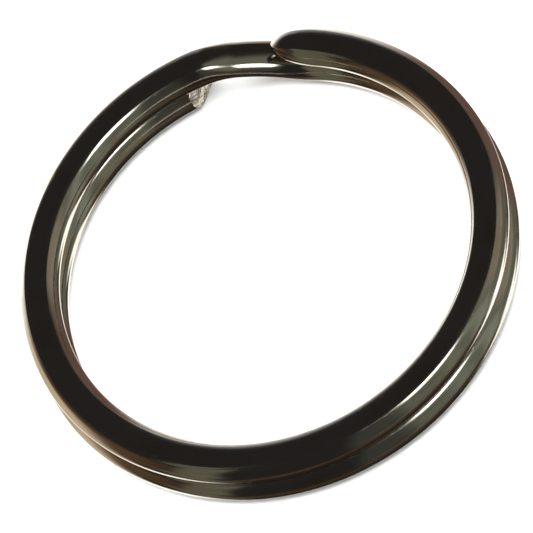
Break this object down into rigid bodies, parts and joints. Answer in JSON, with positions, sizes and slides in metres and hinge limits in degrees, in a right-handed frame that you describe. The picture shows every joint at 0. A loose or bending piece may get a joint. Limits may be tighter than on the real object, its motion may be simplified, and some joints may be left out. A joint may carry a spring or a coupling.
{
  "type": "split key ring",
  "caption": "Split key ring: flattened spring wire coiled almost twice round, whose two ends can be prised open to thread keys on.",
  "frame": {"origin": "centre of the ring on the surface that its lower coil rests on", "axes": "+Z along the ring's axis, from the lower coil to the upper coil; the upper tip points to azimuth 60 degrees from +X towards +Y, and the lower tip to azimuth 77 degrees"},
  "size_m": [0.025, 0.025, 0.0033],
  "materials": {
    "nickel_steel": "polished nickel plate on spring steel, lightly scratched"
  },
  "bodies": {
    "lower_tip": {"lower_tip": "nickel_steel"},
    "lower_coil_9": {"lower_coil_9": "nickel_steel"},
    "lower_coil_8": {"lower_coil_8": "nickel_steel"},
    "lower_coil_7": {"lower_coil_7": "nickel_steel"},
    "lower_coil_6": {"lower_coil_6": "nickel_steel"},
    "lower_coil_5": {"lower_coil_5": "nickel_steel"},
    "lower_coil_4": {"lower_coil_4": "nickel_steel"},
    "lower_coil_3": {"lower_coil_3": "nickel_steel"},
    "lower_coil_2": {"lower_coil_2": "nickel_steel"},
    "lower_coil_1": {"lower_coil_1": "nickel_steel"},
    "crossover": {"crossover": "nickel_steel"},
    "upper_coil_9": {"upper_coil_9": "nickel_steel"},
    "upper_coil_8": {"upper_coil_8": "nickel_steel"},
    "upper_coil_7": {"upper_coil_7": "nickel_steel"},
    "upper_coil_6": {"upper_coil_6": "nickel_steel"},
    "upper_coil_5": {"upper_coil_5": "nickel_steel"},
    "upper_coil_4": {"upper_coil_4": "nickel_steel"},
    "upper_coil_3": {"upper_coil_3": "nickel_steel"},
    "upper_coil_2": {"upper_coil_2": "nickel_steel"},
    "upper_coil_1": {"upper_coil_1": "nickel_steel"},
    "upper_tip": {"upper_tip": "nickel_steel"}
  },
  "joints": [
    {"name": "lower_flexure_10", "type": "hinge", "parent": "lower_tip", "child": "lower_coil_9", "pos_m": [-0.00395, 0.0108, 0.0008], "axis": [0.077, -0.997, 0], "range_deg": [0, 0.3404], "stiffness_Nm_per_rad": 0.0199},
    {"name": "lower_flexure_9", "type": "hinge", "parent": "lower_coil_9", "child": "lower_coil_8", "pos_m": [-0.00923, 0.00686, 0.0008], "axis": [0.3468, -0.9379, 0], "range_deg": [0, 0.7096], "stiffness_Nm_per_rad": 0.0255},
    {"name": "lower_flexure_8", "type": "hinge", "parent": "lower_coil_8", "child": "lower_coil_7", "pos_m": [-0.01148, 0.00066, 0.0008], "axis": [0.5987, -0.801, 0], "range_deg": [0, 1.03], "stiffness_Nm_per_rad": 0.0316},
    {"name": "lower_flexure_7", "type": "hinge", "parent": "lower_coil_7", "child": "lower_coil_6", "pos_m": [-0.00995, -0.00576, 0.0008], "axis": [0.808, -0.5892, 0], "range_deg": [0, 1.28], "stiffness_Nm_per_rad": 0.0355},
    {"name": "lower_flexure_6", "type": "hinge", "parent": "lower_coil_6", "child": "lower_coil_5", "pos_m": [-0.00515, -0.01028, 0.0008], "axis": [0.9483, -0.3175, 0], "range_deg": [0, 1.42], "stiffness_Nm_per_rad": 0.0358},
    {"name": "lower_end_opening", "type": "hinge", "parent": "lower_coil_5", "child": "lower_coil_4", "pos_m": [0.00134, -0.01142, 0.0008], "axis": [0.9999, -0.0131, 0], "range_deg": [0, 1.42], "stiffness_Nm_per_rad": 0.0328},
    {"name": "lower_flexure_4", "type": "hinge", "parent": "lower_coil_4", "child": "lower_coil_3", "pos_m": [0.0074, -0.00881, 0.0008], "axis": [0.9571, 0.2899, 0], "range_deg": [0, 1.29], "stiffness_Nm_per_rad": 0.0274},
    {"name": "lower_flexure_3", "type": "hinge", "parent": "lower_coil_3", "child": "lower_coil_2", "pos_m": [0.01102, -0.0033, 0.0008], "axis": [0.8031, 0.5958, 0], "range_deg": [0, 1.01], "stiffness_Nm_per_rad": 0.0216},
    {"name": "lower_flexure_2", "type": "hinge", "parent": "lower_coil_2", "child": "lower_coil_1", "pos_m": [0.01102, 0.0033, 0.0008], "axis": [0.3964, 0.9181, 0], "range_deg": [0, 0.6335], "stiffness_Nm_per_rad": 0.0197},
    {"name": "lower_flexure_1", "type": "hinge", "parent": "lower_coil_1", "child": "crossover", "pos_m": [0.00739, 0.00881, 0.0008], "axis": [-0.6037, 0.7972, 0], "range_deg": [0, 0.3388], "stiffness_Nm_per_rad": 0.0261},
    {"name": "upper_flexure_10", "type": "hinge", "parent": "crossover", "child": "upper_coil_9", "pos_m": [0.00198, 0.01126, 0.00246], "axis": [-0.9975, 0.0707, 0], "range_deg": [0, 0.2774], "stiffness_Nm_per_rad": 0.0263},
    {"name": "upper_flexure_9", "type": "hinge", "parent": "upper_coil_9", "child": "upper_coil_8", "pos_m": [-0.00465, 0.01044, 0.00246], "axis": [-0.3896, -0.921, 0], "range_deg": [0, 0.5629], "stiffness_Nm_per_rad": 0.0175},
    {"name": "upper_flexure_8", "type": "hinge", "parent": "upper_coil_8", "child": "upper_coil_7", "pos_m": [-0.00969, 0.00606, 0.00246], "axis": [0.1317, -0.9913, 0], "range_deg": [0, 0.9554], "stiffness_Nm_per_rad": 0.0163},
    {"name": "upper_flexure_7", "type": "hinge", "parent": "upper_coil_7", "child": "upper_coil_6", "pos_m": [-0.01142, -0.0004, 0.00246], "axis": [0.4792, -0.8777, 0], "range_deg": [0, 1.27], "stiffness_Nm_per_rad": 0.0162},
    {"name": "upper_flexure_6", "type": "hinge", "parent": "upper_coil_6", "child": "upper_coil_5", "pos_m": [-0.00925, -0.00672, 0.00246], "axis": [0.7256, -0.6881, 0], "range_deg": [0, 1.44], "stiffness_Nm_per_rad": 0.0149},
    {"name": "upper_end_opening", "type": "hinge", "parent": "upper_coil_5", "child": "upper_coil_4", "pos_m": [-0.00391, -0.01074, 0.00246], "axis": [0.9036, -0.4284, 0], "range_deg": [0, 1.46], "stiffness_Nm_per_rad": 0.0116},
    {"name": "upper_flexure_4", "type": "hinge", "parent": "upper_coil_4", "child": "upper_coil_3", "pos_m": [0.00277, -0.01109, 0.00246], "axis": [0.9917, -0.1283, 0], "range_deg": [0, 1.34], "stiffness_Nm_per_rad": 0.0075},
    {"name": "upper_flexure_3", "type": "hinge", "parent": "upper_coil_3", "child": "upper_coil_2", "pos_m": [0.00849, -0.00765, 0.00246], "axis": [0.9843, 0.1768, 0], "range_deg": [0, 1.1], "stiffness_Nm_per_rad": 0.00375},
    {"name": "upper_flexure_2", "type": "hinge", "parent": "upper_coil_2", "child": "upper_coil_1", "pos_m": [0.01132, -0.00159, 0.00246], "axis": [0.8903, 0.4554, 0], "range_deg": [0, 0.7674], "stiffness_Nm_per_rad": 0.00122},
    {"name": "upper_flexure_1", "type": "hinge", "parent": "upper_coil_1", "child": "upper_tip", "pos_m": [0.01027, 0.00501, 0.00246], "axis": [0.7272, 0.6864, 0], "range_deg": [0, 0.3855], "stiffness_Nm_per_rad": 0.000147}
  ],
  "couplings": [
    {"joint": "lower_flexure_10", "follows": "lower_end_opening", "ratio": 0.23997},
    {"joint": "lower_flexure_9", "follows": "lower_end_opening", "ratio": 0.50027},
    {"joint": "lower_flexure_8", "follows": "lower_end_opening", "ratio": 0.72916},
    {"joint": "lower_flexure_7", "follows": "lower_end_opening", "ratio": 0.9028},
    {"joint": "lower_flexure_6", "follows": "lower_end_opening", "ratio": 0.99795},
    {"joint": "lower_flexure_4", "follows": "lower_end_opening", "ratio": 0.90862},
    {"joint": "lower_flexure_3", "follows": "lower_end_opening", "ratio": 0.71293},
    {"joint": "lower_flexure_2", "follows": "lower_end_opening", "ratio": 0.44662},
    {"joint": "lower_flexure_1", "follows": "lower_end_opening", "ratio": 0.23879},
    {"joint": "upper_flexure_10", "follows": "upper_end_opening", "ratio": 0.19012},
    {"joint": "upper_flexure_9", "follows": "upper_end_opening", "ratio": 0.38582},
    {"joint": "upper_flexure_8", "follows": "upper_end_opening", "ratio": 0.65488},
    {"joint": "upper_flexure_7", "follows": "upper_end_opening", "ratio": 0.87302},
    {"joint": "upper_flexure_6", "follows": "upper_end_opening", "ratio": 0.98396},
    {"joint": "upper_flexure_4", "follows": "upper_end_opening", "ratio": 0.91848},
    {"joint": "upper_flexure_3", "follows": "upper_end_opening", "ratio": 0.75256},
    {"joint": "upper_flexure_2", "follows": "upper_end_opening", "ratio": 0.52596},
    {"joint": "upper_flexure_1", "follows": "upper_end_opening", "ratio": 0.26417}
  ]
}
